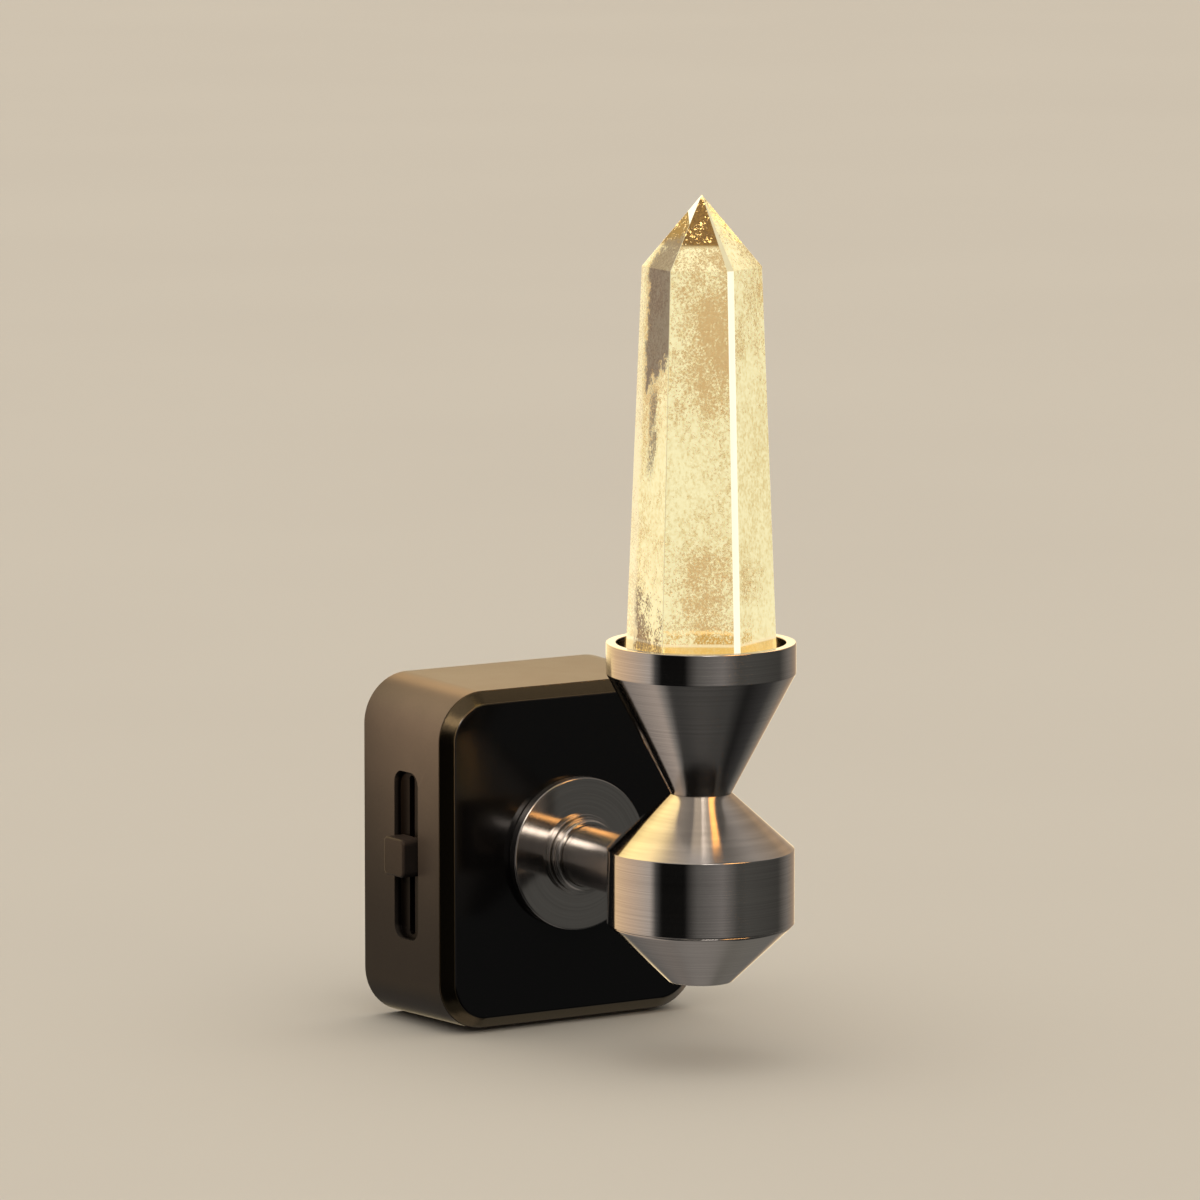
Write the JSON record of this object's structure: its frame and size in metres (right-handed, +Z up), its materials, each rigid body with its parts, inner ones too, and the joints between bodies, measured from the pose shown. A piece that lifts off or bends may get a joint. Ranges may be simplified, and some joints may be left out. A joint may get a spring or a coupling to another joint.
{
  "type": "plug-in night light",
  "caption": "Plug-in wall night light: rounded square case with a side slider, short swivelling arm, turned metal torch cup and a clear pointed crystal lit from below.",
  "frame": {"origin": "middle of the case's back face, which lies on the outlet plate", "axes": "+X right as seen from the room, +Y into the wall, +Z up; the arm stands out along -Y"},
  "size_m": [0.0534, 0.096, 0.1407],
  "materials": {
    "housing": "satin dark metallic lacquer",
    "front": "polished black",
    "back": "fine moulded texture",
    "fastener_steel": "zinc plated",
    "blade_metal": "plain stamped",
    "carrier": "moulded phenolic",
    "circuit_board": "solder mask",
    "fuse_body": "clear tube with plated ends",
    "chip_case": "moulded epoxy",
    "can_sleeve": "shrink sleeve over an aluminium can",
    "film_case": "moulded box",
    "ferrite": "pressed ferrite",
    "winding_tape": "polyester tape over copper wire",
    "plated_sheet": "tinned sheet",
    "phenolic": "paper laminate with carbon film",
    "terminal_metal": "tinned",
    "header_plastic": "moulded nylon",
    "arm_metal": "turned, satin nickel plating",
    "nylon": "moulded",
    "knob": "satin dark metallic lacquer",
    "carriage": "moulded acetal",
    "nut_brass": "turned",
    "torch_metal": "turned, satin nickel plating with fine lathe lines",
    "led_board_metal": "white mask on aluminium",
    "led_phosphor": "phosphor under a clear dome",
    "diffuser": "frosted",
    "silicone": "translucent",
    "lead_sheath": "round sheath",
    "quartz": "polished facets over veiled natural quartz"
  },
  "bodies": {
    "base": {"side_housing": "housing", "front_cover": "front", "back_cover": "back", "case_screws": "fastener_steel", "blade_hot": "blade_metal", "blade_neutral": "blade_metal", "blade_carrier": "carrier", "main_board": "circuit_board", "board_screws": "fastener_steel", "fuse": "fuse_body", "bridge_rectifier": "chip_case", "mains_capacitor": "can_sleeve", "output_capacitor": "can_sleeve", "film_capacitor": "film_case", "driver_chip": "chip_case", "transformer_core": "ferrite", "transformer_winding": "winding_tape", "choke": "ferrite", "dimmer_board": "circuit_board", "dimmer_screws": "fastener_steel", "dimmer_frame": "plated_sheet", "dimmer_track": "phenolic", "dimmer_terminals": "terminal_metal", "board_header": "header_plastic", "rosette": "arm_metal", "arm_collar": "arm_metal", "bearing_washer": "nylon"},
    "slider": {"slider_knob": "knob", "dimmer_wiper": "carriage", "wiper_contact": "terminal_metal"},
    "torch": {"arm_tube": "arm_metal", "stop_washer": "fastener_steel", "spring_washer": "fastener_steel", "arm_nut": "nut_brass", "torch_body": "torch_metal", "torch_cap": "torch_metal", "arm_set_screw": "fastener_steel", "neck_stud": "fastener_steel", "crystal_cup": "torch_metal", "led_board": "led_board_metal", "led_screws": "fastener_steel", "led_emitter": "led_phosphor", "light_lens": "diffuser", "seat_ring": "silicone", "lamp_lead": "lead_sheath"},
    "crystal": {"crystal": "quartz"}
  },
  "joints": [
    {"name": "dimmer_slide", "type": "slide", "parent": "base", "child": "slider", "axis": [0, 0, 1], "range_m": [-0.01, 0.01]},
    {"name": "torch_swivel", "type": "hinge", "parent": "base", "child": "torch", "pos_m": [0, -0.0631, 0], "axis": [0, 1, 0], "range_deg": [-90, 90]},
    {"name": "crystal_lift", "type": "slide", "parent": "torch", "child": "crystal", "axis": [0, 0, 1], "range_m": [0, 0.03]}
  ]
}
